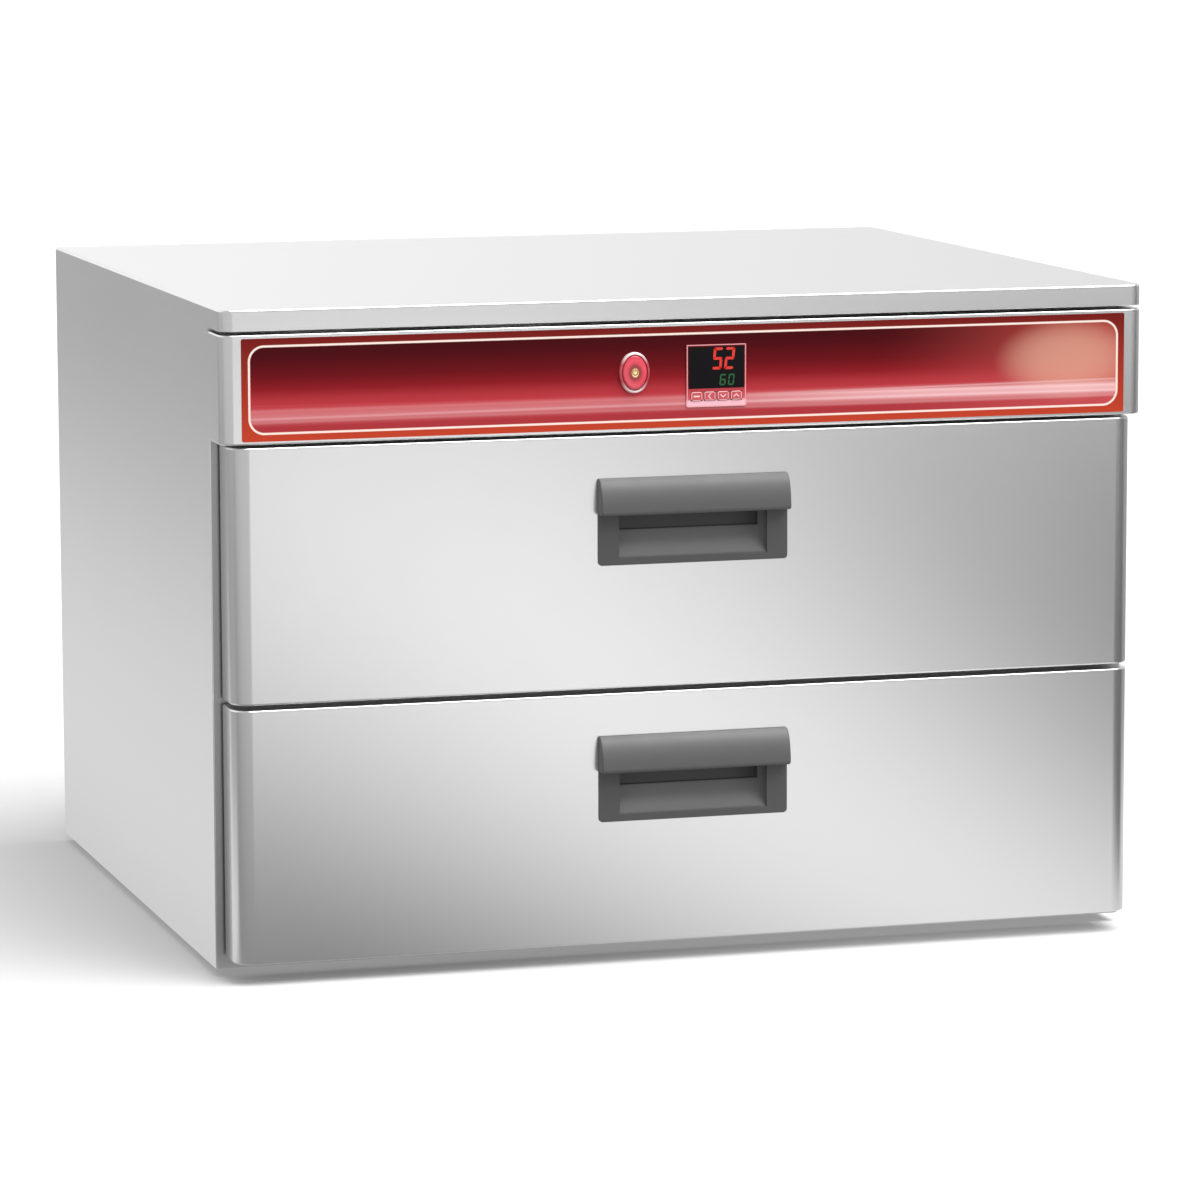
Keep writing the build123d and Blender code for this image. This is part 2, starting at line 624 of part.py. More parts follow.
def pan_carrier(bottom):
    """Upright bars on four sides, ledge strips for the pan rims and a middle bar, all welded."""
    half, front, rear = CARRIER_HALF, FRONT_Y + DRAWER_DEPTH, 262.0
    low, high, ledge = bottom + 112, bottom + 172, bottom + RIM_UP
    sheet, lap = 1.5, 11.0
    web = half - sheet
    inner, near, far = PAN_W + 1.5 - lap, PAN_START + lap, PAN_START + PAN_L - lap
    bars = both_sides(block(web, half, front, rear, low, high))
    bars += both_sides(block(inner, web, front + sheet, rear - sheet, ledge - SHEET, ledge))
    bars += both_sides(block(8.0 - SHEET, 8.0, front + sheet, rear - sheet, ledge - 12, ledge - SHEET))
    for start in (front, rear - sheet):
        bars.append(block(-web, web, start, start + sheet, low, high))
    for start, end in ((front + sheet, near), (far, rear - sheet)):
        bars.append(block(-inner, inner, start, end, ledge - SHEET, ledge))
    return bars + [block(-12.5, 12.5, near, far, ledge - SHEET, ledge)]


def food_pan(bottom, side):
    """Gastronorm 1/1 pan: tapered body, bevelled base, flat rim with a turned-down edge."""
    top = bottom + RIM_UP + 5.0
    rim_w = 14.5
    outer = extrude(RectangleRounded(PAN_W - 2 * rim_w, PAN_L - 2 * rim_w, 45.0), -PAN_DEPTH, taper=4)
    outer = chamfer(outer.edges().group_by(Axis.Z)[0], 10.0)
    inner = extrude(RectangleRounded(PAN_W - 2 * rim_w - 2, PAN_L - 2 * rim_w - 2, 44.0),
                    -PAN_DEPTH + 1, taper=4)
    inner = chamfer(inner.edges().group_by(Axis.Z)[0], 9.6)
    rim = extrude(RectangleRounded(PAN_W, PAN_L, 30.0), -5.0)
    rim -= extrude(Pos(0, 0, -1) * RectangleRounded(PAN_W - 2, PAN_L - 2, 29.0), -5.0)
    pan = outer + rim - inner
    return Pos(side * (PAN_W / 2 + 1.5), PAN_START + PAN_L / 2, top) * pan


def build_cabinet():
    """Every fixed piece."""
    save("worktop_lid", worktop_lid())
    left, right = both_sides(side_panel())
    save("left_side_panel", left)
    save("right_side_panel", right)
    save("back_panel", back_panel())
    save("cabinet_screws", cabinet_screws())
    save("base_panel", base_panel())
    save("rubber_pads", rubber_pads())
    save("front_frame", front_frame())
    save("control_fascia", control_fascia())
    save("fascia_overlay", fascia_overlay())
    left, right = both_sides(chamber_wall())
    save("left_chamber_wall", left)
    save("right_chamber_wall", right)
    save("rear_chamber_wall", rear_wall())
    save("chamber_ceiling", chamber_ceiling())
    save("chamber_floor", floor_with_combs(floor_top(), DRAWER_BOTTOMS["lower"]))
    save("chamber_shelf", floor_with_combs(shelf_top(), DRAWER_BOTTOMS["upper"]))
    save("side_insulation", both_sides(side_insulation()))
    save("rear_insulation", rear_insulation())
    save("top_insulation", top_insulation())
    save("base_insulation", base_insulation())


def build_electrics():
    """Controls, heaters and what is wired between them."""
    save("control_tray", control_tray())
    save("heater_relay", heater_relay())
    save("terminal_block", terminal_block())
    save("safety_cutout", safety_cutout())
    save("temperature_probe", temperature_probe())
    save("power_inlet", power_inlet())
    save("controller_case", controller_case())
    save("controller_window", controller_window())
    save("controller_clamp", controller_clamp())
    save("switch_housing", switch_housing())
    save("power_button", power_button())
    for index, name in enumerate(KEY_NAMES):
        save(name, controller_key(index))


def build_drawer(name, bottom):
    """One drawer with its element and slides."""
    save(f"{name}_heating_element", heating_element(bottom))
    save(f"{name}_slide_outer", slide_outer(bottom))
    save(f"{name}_slide_middle", slide_middle(bottom))
    save(f"{name}_slide_inner", slide_inner(bottom))
    save(f"{name}_drawer_front", drawer_front(bottom))
    save(f"{name}_drawer_core", drawer_core(bottom))
    save(f"{name}_drawer_back", drawer_back(bottom))
    save(f"{name}_drawer_gasket", drawer_gasket(bottom))
    save(f"{name}_pull_handle", pull_handle(bottom))
    save(f"{name}_pan_carrier", pan_carrier(bottom))
    save(f"{name}_left_pan", food_pan(bottom, -1))
    save(f"{name}_right_pan", food_pan(bottom, 1))


os.makedirs("parts", exist_ok=True)
build_cabinet()
build_electrics()
for drawer, lower_edge in DRAWER_BOTTOMS.items():
    build_drawer(drawer, lower_edge)
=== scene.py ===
from math import atan2, cos, pi, radians, sin

import bmesh
import bpy
from mathutils import Matrix, Vector


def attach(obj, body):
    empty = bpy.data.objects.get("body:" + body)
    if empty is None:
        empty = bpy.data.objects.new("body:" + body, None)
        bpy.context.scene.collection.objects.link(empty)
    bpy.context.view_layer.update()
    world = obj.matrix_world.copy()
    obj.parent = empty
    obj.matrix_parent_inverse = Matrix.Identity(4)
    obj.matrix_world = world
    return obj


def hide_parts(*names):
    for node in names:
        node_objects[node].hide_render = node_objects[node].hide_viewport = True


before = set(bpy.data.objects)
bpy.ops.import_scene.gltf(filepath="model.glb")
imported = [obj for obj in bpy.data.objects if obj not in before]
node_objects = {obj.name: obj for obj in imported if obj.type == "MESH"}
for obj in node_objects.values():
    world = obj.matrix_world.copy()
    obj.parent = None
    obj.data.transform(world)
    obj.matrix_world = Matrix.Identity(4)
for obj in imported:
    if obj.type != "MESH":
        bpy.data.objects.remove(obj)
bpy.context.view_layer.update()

MM = 0.001


# ---- worktop lid ----
# A shallow tray pressed from 1.5 mm stainless sheet: rounded front corners, a
# rolled top edge and a hemmed lower edge. It sits on the side panels.

class Wire:
    """One output of a shader node. Arithmetic on it adds Math nodes."""

    def __init__(self, tree, socket):
        self.tree = tree
        self.socket = socket

    def math(self, operation, *others):
        values = dict(enumerate((self,) + others))
        return self.tree.node("ShaderNodeMath", {"operation": operation}, values)

    def __add__(self, other):
        return self.math("ADD", other)

    def __sub__(self, other):
        return self.math("SUBTRACT", other)

    def __rsub__(self, other):
        return self.tree.node("ShaderNodeMath", {"operation": "SUBTRACT"}, {0: other, 1: self})

    def __mul__(self, other):
        return self.math("MULTIPLY", other)

    def __truediv__(self, other):
        return self.math("DIVIDE", other)

    def __abs__(self):
        return self.math("ABSOLUTE")

    def between(self, low, high):
        """Runs from 0 at low to 1 at high, soft at both ends."""
        return self.tree.node("ShaderNodeMapRange", {"interpolation_type": "SMOOTHSTEP"},
                              {0: self, 1: low, 2: high, 3: 0.0, 4: 1.0})

    def below(self, edge, blur):
        """1 where the value is under the edge, 0 above it, soft over the blur."""
        return self.tree.node("ShaderNodeMapRange", {"interpolation_type": "SMOOTHSTEP"},
                              {0: self, 1: edge - blur, 2: edge + blur, 3: 1.0, 4: 0.0})

    __radd__ = __add__
    __rmul__ = __mul__


class ShaderTree:
    """A node tree to which nodes are added one by one."""

    def __init__(self, tree):
        self.tree = tree

    def plug(self, target, value):
        if isinstance(value, Wire):
            self.tree.links.new(value.socket, target)
        elif hasattr(value, "__len__") and len(value) == 3 and target.type == "RGBA":
            target.default_value = (*value, 1.0)
        else:
            target.default_value = value

    def node(self, kind, settings=None, values=None, out=0):
        """Any shader node: its settings first, then the values or links of its sockets."""
        made = self.tree.nodes.new(kind)
        for key, value in (settings or {}).items():
            if key == "stops":
                ramp = made.color_ramp
                while len(ramp.elements) < len(value):
                    ramp.elements.new(1.0)
                for element, (place, colour) in zip(ramp.elements, value):
                    element.position = place
                    element.color = (*colour, 1.0)
            else:
                setattr(made, key, value)
        for key, value in (values or {}).items():
            self.plug(made.inputs[key], value)
        return Wire(self, made.outputs[out])

    def mix(self, share, first, second):
        """From the first colour to the second by a share from 0 to 1."""
        return self.node("ShaderNodeMix", {"data_type": "RGBA"}, {0: share, 6: first, 7: second}, out=2)

    def blend(self, share, first, second):
        """The same for plain numbers."""
        return self.node("ShaderNodeMix", {"data_type": "FLOAT"}, {0: share, 2: first, 3: second})


class Finish(ShaderTree):
    """A material built round one Principled shader."""

    def __init__(self, name, colour, roughness, metallic=0.0):
        self.material = bpy.data.materials.new(name)
        self.material.use_nodes = True
        super().__init__(self.material.node_tree)
        self.shader = self.tree.nodes["Principled BSDF"]
        self.feed("Base Color", colour)
        self.feed("Roughness", roughness)
        self.feed("Metallic", metallic)

    def feed(self, key, value):
        self.plug(self.shader.inputs[key], value)

    def place(self):
        """Position on the piece, in metres."""
        return self.node("ShaderNodeTexCoord", out="Object")

    def stretched(self, x, y, z):
        """Position scaled along each axis, for patterns with a direction."""
        return self.node("ShaderNodeVectorMath", {"operation": "MULTIPLY"}, {0: self.place(), 1: (x, y, z)})

    def noise(self, position, scale, detail=3.0):
        return self.node("ShaderNodeTexNoise", None, {"Vector": position, "Scale": scale, "Detail": detail})

    def axis(self, name):
        return self.node("ShaderNodeSeparateXYZ", None, {0: self.place()}, out=name)

    def bump(self, height, distance, strength=1.0):
        """Raises or sinks the surface by a pattern, distance in metres."""
        raised = self.node("ShaderNodeBump", None,
                           {"Height": height, "Distance": distance, "Strength": strength})
        self.feed("Normal", raised)


def grey(level):
    """A screen grey level from 0 to 255 as a linear colour."""
    part = level / 255
    linear = part / 12.92 if part < 0.04045 else ((part + 0.055) / 1.055) ** 2.4
    return (linear, linear, linear)


def screen(red, green, blue):
    """A screen colour from 0 to 255 as a linear colour."""
    return tuple(grey(level)[0] for level in (red, green, blue))


def satin_steel(name, colour, roughness, along=(1.0, 60.0, 60.0)):
    """Satin-rolled stainless: fine lines along one axis and cloudy handling marks."""
    finish = Finish(name, colour, roughness, 1.0)
    lines = finish.noise(finish.stretched(*along), 30.0, 4.0)
    clouds = finish.noise(finish.place(), 6.0, 2.0)
    fine = finish.noise(finish.stretched(*along), 160.0, 2.0)
    finish.feed("Roughness", lines * 0.03 + clouds * 0.03 + (roughness - 0.03))
    darker = tuple(0.975 * part for part in colour)
    finish.feed("Base Color", finish.mix(clouds * 0.5 + fine * 0.5, darker, colour))
    finish.bump(fine * 0.6 + lines * 0.4, 0.000004)
    return finish.material


stainless = satin_steel("satin_stainless", (0.80, 0.80, 0.80), 0.24)


def mesh_piece(name, points, faces, body, slot, material, replaced=(), sharp=35.0):
    """A mesh in millimetres, smooth between its sharp edges, riding on a body."""
    mesh = bpy.data.meshes.new(name)
    mesh.from_pydata([[MM * value for value in point] for point in points], [], faces)
    shell = bmesh.new()
    shell.from_mesh(mesh)
    bmesh.ops.remove_doubles(shell, verts=shell.verts, dist=1e-7)
    bmesh.ops.recalc_face_normals(shell, faces=shell.faces)
    shell.to_mesh(mesh)
    shell.free()
    return finish_piece(bpy.data.objects.new(name, mesh), body, material, replaced, sharp)


def finish_piece(piece, body, material, replaced=(), sharp=35.0):
    """Shading, material, body and the node it stands for, the same for every mesh."""
    if not piece.users_collection:
        bpy.context.scene.collection.objects.link(piece)
    piece.data.materials.clear()
    piece.data.materials.append(material)
    for face in piece.data.polygons:
        face.use_smooth = True
    piece.data.set_sharp_from_angle(angle=radians(sharp))
    even = piece.modifiers.new("even", "WEIGHTED_NORMAL")
    even.keep_sharp = True
    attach(piece, body)
    if replaced:
        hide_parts(*replaced)
    return piece


def arc(centre, radius, start, end, steps):
    """Points on an arc in a plane, angles in degrees."""
    turns = [radians(start + (end - start) * i / steps) for i in range(steps + 1)]
    return [(centre[0] + radius * cos(a), centre[1] + radius * sin(a)) for a in turns]


def plan_line(half, front, back, radius, inset, steps=10):
    """Plan outline from the left rear round the two rounded front corners to the right rear."""
    side, edge, bend = half - inset, front + inset, max(radius - inset, 0.05)
    left = arc((-side + bend, edge + bend), bend, 180, 270, steps)
    right = arc((side - bend, edge + bend), bend, 270, 360, steps)
    return [(-side, back)] + left + right + [(side, back)]


def bridge(count, first, second, closed=True):
    """Quads between two loops of points that start at these numbers."""
    last = count if closed else count - 1
    return [(first + i, first + (i + 1) % count, second + (i + 1) % count, second + i) for i in range(last)]


def stacked(loops, closed=True, caps=(True, True)):
    """Points and faces of a skin through loops of equal length."""
    count = len(loops[0])
    points = [point for loop in loops for point in loop]
    faces = []
    for row in range(len(loops) - 1):
        faces += bridge(count, row * count, (row + 1) * count, closed)
    if caps[0]:
        faces.append(tuple(range(count)))
    if caps[1]:
        faces.append(tuple(range((len(loops) - 1) * count, len(loops) * count)))
    return points, faces


lid_low, lid_top, lid_half, lid_front, lid_back = 498.5, 515.0, 369.0, -316.0, 326.0
lid_edge, lid_corner = 2.0, 10.0
lid_profile = [(lid_edge, lid_top - 1.5), (1.5, lid_top - lid_edge), (1.5, lid_low + 0.4), (1.1, lid_low),
               (0.4, lid_low), (0.0, lid_low + 0.4)]
lid_profile += [(lid_edge + x, z) for x, z in arc((0.0, lid_top - lid_edge), lid_edge, 180, 90, 6)]
lid_loops = []
for inset, height in lid_profile:
    line = plan_line(lid_half, lid_front, lid_back - inset, lid_corner, inset)
    lid_loops.append([(x, y, height) for x, y in line])
lid = mesh_piece("lid_tray", *stacked(lid_loops), "cabinet", "stainless", stainless, ["worktop_lid"])


# ---- cabinet shell ----
# Folded side panels, back sheet and base sheet of 1.2 mm stainless, and the
# face frame behind the drawers. The solids have their true shape and stay.

# The face frame's steel is a darker copy of the stainless. The darkening is painted shade for the shadow
# the frame sits in behind the drawer fronts.
frame_steel_painted_shade = satin_steel("frame_steel_painted_shade", (0.54, 0.54, 0.54), 0.34)
inner_steel = satin_steel("inner_stainless", (0.66, 0.66, 0.655), 0.32)


def dress(material, *names):
    """Gives the solids that stay their finish."""
    for name in names:
        mesh = node_objects[name].data
        mesh.materials.clear()
        mesh.materials.append(material)


side_steel = satin_steel("side_stainless", (0.80, 0.80, 0.80), 0.24, (60.0, 1.0, 60.0))
dress(side_steel, "left_side_panel", "right_side_panel", "back_panel", "base_panel")
dress(frame_steel_painted_shade, "front_frame")
dress(inner_steel, "left_chamber_wall", "right_chamber_wall", "rear_chamber_wall", "chamber_floor",
      "chamber_ceiling", "chamber_shelf")


# ---- control fascia ----
# A stainless channel with rounded vertical ends, cut out for the controller and
# the button, with an upstand at its rear that is riveted to the face frame.

def channel_skin(name, half, front, back, radius, low, high, thick, body, replaced):
    """A pressed front, open at the rear, with small outer bends along top and bottom."""
    bend, steps = 1.6, 4
    section = []
    for turn in (bend, bend - thick):
        section += arc((bend, low + bend), turn, 270, 180, steps)
        section += arc((bend, high - bend), turn, 180, 90, steps)
    loops = []
    for inset, height in section:
        loops.append([(x, y, height) for x, y in plan_line(half, front, back, radius, inset)])
    rows, count = len(section) // 2, len(loops[0])
    points = [point for loop in loops for point in loop]
    faces = []
    for start in (0, rows):
        for row in range(start, start + rows - 1):
            faces += bridge(count, row * count, (row + 1) * count, closed=False)
        faces.append(tuple(range(start * count, start * count + count)))
        end = (start + rows - 1) * count
        faces.append(tuple(range(end, end + count)))
    shift = rows * count
    for row in range(rows - 1):
        for place in (0, count - 1):
            a, b = row * count + place, (row + 1) * count + place
            faces.append((a, b, b + shift, a + shift))
    for row in (0, rows - 1):
        a, b = row * count, row * count + count - 1
        faces.append((a, b, b + shift, a + shift))
    return mesh_piece(name, points, faces, body, "stainless", stainless, replaced)


def cut(piece, points, faces):
    """Takes a closed block out of a piece."""
    mesh = bpy.data.meshes.new("cutter")
    mesh.from_pydata([[MM * value for value in point] for point in points], [], faces)
    shell = bmesh.new()
    shell.from_mesh(mesh)
    bmesh.ops.recalc_face_normals(shell, faces=shell.faces)
    shell.to_mesh(mesh)
    shell.free()
    cutter = bpy.data.objects.new("cutter", mesh)
    bpy.context.scene.collection.objects.link(cutter)
    boolean = piece.modifiers.new("cut", "BOOLEAN")
    boolean.solver = "EXACT"
    boolean.object = cutter
    piece.modifiers.move(len(piece.modifiers) - 1, 0)
    bpy.context.view_layer.update()
    seen = piece.evaluated_get(bpy.context.evaluated_depsgraph_get())
    cut_mesh = bpy.data.meshes.new_from_object(seen)
    piece.modifiers.remove(piece.modifiers["cut"])
    old = piece.data
    piece.data = cut_mesh
    bpy.data.meshes.remove(old)
    bpy.data.objects.remove(cutter)
    piece.data.set_sharp_from_angle(angle=radians(35.0))


def box_points(x0, x1, y0, y1, z0, z1):
    """Corners and faces of a plain block, for cutters."""
    points = [(x, y, z) for x in (x0, x1) for y in (y0, y1) for z in (z0, z1)]
    faces = [(0, 1, 3, 2), (4, 6, 7, 5), (0, 4, 5, 1), (2, 3, 7, 6), (0, 2, 6, 4), (1, 5, 7, 3)]
    return points, faces


controller_x, controller_z, button_x, button_z = 18.5, 454.6, -47.0, 458.6


def oval_line(inset, steps=10):
    """The button's outline: small arcs at top and bottom, flatter ones at the sides."""
    end_r, side_r, wide, high = 10.5, 19.2, 12.3, 15.8
    across, up = side_r - wide, high - end_r
    turn = 180 / pi * atan2(up, across)
    line = arc((-across, 0.0), side_r - inset, -turn, turn, steps)[:-1]
    line += arc((0.0, up), end_r - inset, turn, 180 - turn, 2 * steps)[:-1]
    line += arc((across, 0.0), side_r - inset, 180 - turn, 180 + turn, steps)[:-1]
    line += arc((0.0, -up), end_r - inset, 180 + turn, 360 - turn, 2 * steps)[:-1]
    return [(button_x + x, button_z + z) for x, z in line]


fascia = channel_skin("fascia_channel", 369.0, -316.0, -274.0, 10.0, 413.0, 496.0, 1.2, "cabinet",
                      ["control_fascia"])
cut(fascia, *box_points(controller_x - 22.5, controller_x + 22.5, -320, -305, controller_z - 22.5,
                        controller_z + 22.5))
cut(fascia, *stacked([[(x, y, z) for x, z in oval_line(1.0)] for y in (-320.0, -305.0)]))
mesh_piece("fascia_upstand", *box_points(-367.8, 367.8, -275.2, -274.0, 494.9, 498.5), "cabinet",
           "stainless", stainless)


# ---- graphic overlay ----
# A polyester film, printed on its rear face and stuck on the fascia: red that
# runs from dark at the top to bright below, soft light bands and a pale border.

overlay_half, overlay_low, overlay_high = 353.2, 415.5, 493.0


def overlay_print(finish):
    """The printed colours by place on the fascia: gradient, drifting light bands, border."""
    x, z = finish.axis("X") / (overlay_half * MM), finish.axis("Z")
    height = (z - overlay_low * MM) / ((overlay_high - overlay_low) * MM)
    base = [(0.0, screen(58, 8, 12)), (0.20, screen(78, 10, 17)), (0.38, screen(108, 16, 24)),
            (0.50, screen(140, 26, 34)), (0.60, screen(176, 50, 58)), (0.70, screen(196, 62, 70)),
            (0.80, screen(190, 60, 68)), (0.87, screen(172, 54, 60)), (1.0, screen(178, 54, 62))]
    colour = finish.node("ShaderNodeValToRGB", {"stops": base}, {0: 1.0 - height})
    warm = x.between(0.40, 1.0) * 0.85
    colour = finish.mix(warm, colour, finish.mix(height, screen(206, 84, 90), screen(178, 64, 56)))
    aside, above = x - 0.87, height - 0.55
    glow = (aside * aside / 0.034 + above * above / 0.20).between(1.0, 0.0)
    colour = finish.mix(glow * 0.50, colour, screen(244, 190, 164))
    for centre, sway, turns, phase, wide, left, right in light_bands:
        swing = (x * turns + phase).math("SINE") * sway + centre
        near = (abs(height - swing) / wide).between(1.0, 0.0)
        share = x.between(-0.1, 0.6) * (right - left) + left
        colour = finish.mix(near * share, colour, screen(255, 212, 214))
    edge = rounded_distance(finish.axis("X"), z)
    rim = finish.mix(height, screen(196, 66, 42), screen(116, 28, 26))
    colour = finish.mix(edge.below(-0.0008, 0.0003), rim, colour)
    return finish.mix(abs(edge).below(0.0008, 0.0003), colour, screen(255, 232, 222))


# height, sway, turns, phase and width of each light band, then its strength at left and right
light_bands = [(0.245, 0.010, 1.6, 0.4, 0.105, 0.22, 0.62), (0.285, 0.012, 1.4, 2.2, 0.026, 0.10, 0.55),
               (0.225, 0.010, 2.1, 1.0, 0.022, 0.26, 0.55), (0.340, 0.030, 1.7, 4.6, 0.014, 0.02, 0.35),
               (0.180, 0.008, 2.6, 2.9, 0.024, 0.12, 0.18)]


def rounded_distance(x, z):
    """Distance outside the pale line's rounded run, negative inside it, in metres."""
    border, radius = 5.9, 11.5
    wide, high = overlay_half - border, (overlay_high - overlay_low) / 2 - border
    middle = (overlay_low + overlay_high) / 2
    across = (abs(x) - (wide - radius) * MM).math("MAXIMUM", 0.0)
    up = (abs(z - middle * MM) - (high - radius) * MM).math("MAXIMUM", 0.0)
    reach = (across * across + up * up).math("SQRT")
    inside = (abs(x) - wide * MM).math("MAXIMUM", abs(z - middle * MM) - high * MM)
    return inside.math("MAXIMUM", reach - radius * MM)


film = Finish("printed_film", (0.4, 0.05, 0.06), 0.35)
film.feed("Base Color", overlay_print(film))
film.feed("Specular IOR Level", 0.06)
film.bump(film.noise(film.place(), 900.0, 2.0), 0.000006)
dress(film.material, "fascia_overlay")


# ---- temperature controller ----
# A 48 mm panel controller: moulded front printed like the film round it, a clear
# lens over two rows of digits, and four soft keys under the lens.

case_front = Finish("controller_front", (0.4, 0.05, 0.06), 0.35)
case_front.feed("Specular IOR Level", 0.1)
case_x = abs(case_front.axis("X") - controller_x * MM)
case_z = abs(case_front.axis("Z") - controller_z * MM)
outline = abs(case_x.math("MAXIMUM", case_z) - 0.0234).below(0.00035, 0.0002)
rows = [(0.0, screen(252, 200, 210)), (0.09, screen(250, 190, 202)), (0.13, screen(206, 92, 100)),
        (0.24, screen(196, 72, 80)), (0.36, screen(150, 34, 42)), (1.0, screen(92, 12, 20))]
case_up = (case_front.axis("Z") - (controller_z - 24.0) * MM) / 0.048
case_print = case_front.node("ShaderNodeValToRGB", {"stops": rows}, {0: case_up})
case_front.feed("Base Color", case_front.mix(outline, case_print, screen(246, 170, 172)))
case_front.bump(case_front.noise(case_front.place(), 1500.0, 2.0), 0.000008)
dress(case_front.material, "controller_case")

lens = Finish("controller_lens", (0.006, 0.005, 0.006), 0.12)
lens.feed("Specular IOR Level", 0.12)
lens.bump(lens.noise(lens.place(), 600.0, 2.0), 0.000004)
dress(lens.material, "controller_window")


def lit(name, colour, strength):
    """A lit segment: its own colour, brighter in fine random speckles."""
    finish = Finish(name, colour, 0.4)
    speckle = finish.noise(finish.place(), 2500.0, 1.0)
    finish.feed("Emission Color", finish.mix(speckle, colour, tuple(min(1.0, 1.25 * c) for c in colour)))
    finish.feed("Emission Strength", strength)
    return finish.material


segments = {"5": "afgcd", "2": "abged", "6": "afgedc", "0": "abcdef"}


def digit(text, left, low, wide, high, stroke):
    """Bars of one seven-segment digit, as faces in the X and Z plane."""
    half = high / 2
    bars = {"a": (0, high - stroke, wide, high), "g": (0, half - stroke / 2, wide, half + stroke / 2),
            "d": (0, 0, wide, stroke), "f": (0, half, stroke, high), "e": (0, 0, stroke, half),
            "b": (wide - stroke, half, wide, high), "c": (wide - stroke, 0, wide, half)}
    shapes = []
    for bar in segments[text]:
        x0, z0, x1, z1 = bars[bar]
        tip = stroke * 0.5
        if x1 - x0 > z1 - z0:
            middle = (z0 + z1) / 2
            ring = [(x0 + 0.1, middle), (x0 + tip, z0), (x1 - tip, z0), (x1 - 0.1, middle),
                    (x1 - tip, z1), (x0 + tip, z1)]
        else:
            middle = (x0 + x1) / 2
            ring = [(middle, z0 + 0.1), (x1, z0 + tip), (x1, z1 - tip), (middle, z1 - 0.1),
                    (x0, z1 - tip), (x0, z0 + tip)]
        shapes.append([(left + x + 0.10 * z, low + z) for x, z in ring])
    return shapes


def display_row(name, text, left, low, wide, high, stroke, pitch, material):
    """A row of digits, printed thin on the lens."""
    points, faces = [], []
    for place, letter in enumerate(text):
        for ring in digit(letter, left + pitch * place, low, wide, high, stroke):
            block, sides = stacked([[(x, y, z) for x, z in ring] for y in (-317.43, -317.30)])
            faces += [tuple(len(points) + i for i in side) for side in sides]
            points += block
    return mesh_piece(name, points, faces, "cabinet", "lens", material)


display_row("measured_digits", "52", 14.9, controller_z + 4.4, 7.6, 16.9, 2.1, 9.6,
            lit("red_digits", screen(192, 36, 24), 0.40))
display_row("set_digits", "60", 20.8, controller_z - 7.8, 4.8, 8.6, 1.1, 6.8,
            lit("green_digits", screen(20, 84, 42), 0.35))


def key_print(index, symbol):
    """A key cap's print: the film's colour, a pale outline and its symbol."""
    finish = Finish("key_print_" + symbol, (0.4, 0.05, 0.06), 0.32)
    x = (finish.axis("X") - (controller_x + (index - 1.5) * 10.6) * MM) / MM
    z = (finish.axis("Z") - (controller_z - 15.8) * MM) / MM
    box = (abs(x) - 4.5).math("MAXIMUM", abs(z) - 3.5)
    rim = abs(box + 0.45).below(0.22, 0.15)
    if symbol == "mode":
        mark = (abs(x) - 2.4).math("MAXIMUM", abs(z) - 0.6).below(0.0, 0.2)
    elif symbol == "left":
        mark = (abs(x + 1.3 - abs(z) * 1.0) - 0.5).math("MAXIMUM", abs(z) - 2.0).below(0.0, 0.25)
    elif symbol == "down":
        mark = (abs(z + 1.0 - abs(x) * 0.9) - 0.5).math("MAXIMUM", abs(x) - 2.2).below(0.0, 0.25)
    else:
        mark = (abs(z - 1.0 + abs(x) * 0.9) - 0.5).math("MAXIMUM", abs(x) - 2.2).below(0.0, 0.25)
    worn = finish.noise(finish.place(), 300.0, 2.0)
    base = finish.mix(worn, screen(196, 72, 82), screen(206, 84, 92))
    colour = finish.mix(rim.math("MAXIMUM", mark), base, screen(255, 214, 212))
    finish.feed("Base Color", colour)
    finish.bump(finish.noise(finish.place(), 1500.0, 2.0), 0.000008)
    return finish.material


for index, (node, symbol) in enumerate((("mode_key", "mode"), ("left_key", "left"), ("down_key", "down"),
                                        ("up_key", "up"))):
    dress(key_print(index, symbol), node)


# ---- power button ----
# A domed oval cap of translucent red plastic in a chromed pink bezel ring, whose
# pale top and bottom are a painted highlight. The cap slides in the ring's bore;
# the switch block sits behind the fascia.

def button_loops(profile):
    """Loops of the oval through pairs of inset and depth."""
    return [[(x, y, z) for x, z in oval_line(inset)] for inset, y in profile]


ring_finish = Finish("bezel_ring", screen(228, 150, 152), 0.16, 0.35)
# Painted highlight: the ring's colour goes pale at its top and bottom and darker pink at its sides, with
# noise ruffling the edge of the pale part.
ring_highlight_noise = ring_finish.noise(ring_finish.place(), 120.0, 2.0)
ring_up = (ring_finish.axis("Z") - button_z * MM) / 0.0158
ring_painted_highlight = (abs(ring_up) + ring_highlight_noise * 0.2).between(0.45, 1.0)
ring_finish.feed("Base Color", ring_finish.mix(ring_painted_highlight, screen(206, 92, 100), screen(255, 236, 236)))
ring_profile = [(2.2, -307.4), (2.2, -318.4), (1.9, -318.85)]
ring_profile += [(1.8 - 1.8 * sin(radians(a)), -317.2 - 1.8 * cos(radians(a)))
                 for a in (0, 18, 36, 54, 72, 90)]
ring_profile += [(0.0, -316.42)]
ring = mesh_piece("button_bezel", *stacked(button_loops(ring_profile), caps=(False, False)), "cabinet",
                  "button_plastic", ring_finish.material, ["switch_housing"])
dark_plastic = Finish("black_moulding", grey(46), 0.5)
dark_grain = dark_plastic.noise(dark_plastic.place(), 1100.0, 3.0)
dark_plastic.feed("Base Color", dark_plastic.mix(dark_grain, grey(38), grey(54)))
dark_plastic.bump(dark_grain, 0.00002)
switch_back = [(1.3, -316.4), (1.3, -312.4), (1.3, -307.0), (3.0, -304.0), (3.0, -290.0)]
mesh_piece("switch_body", *stacked(button_loops(switch_back)), "cabinet", "dark_plastic",
           dark_plastic.material)

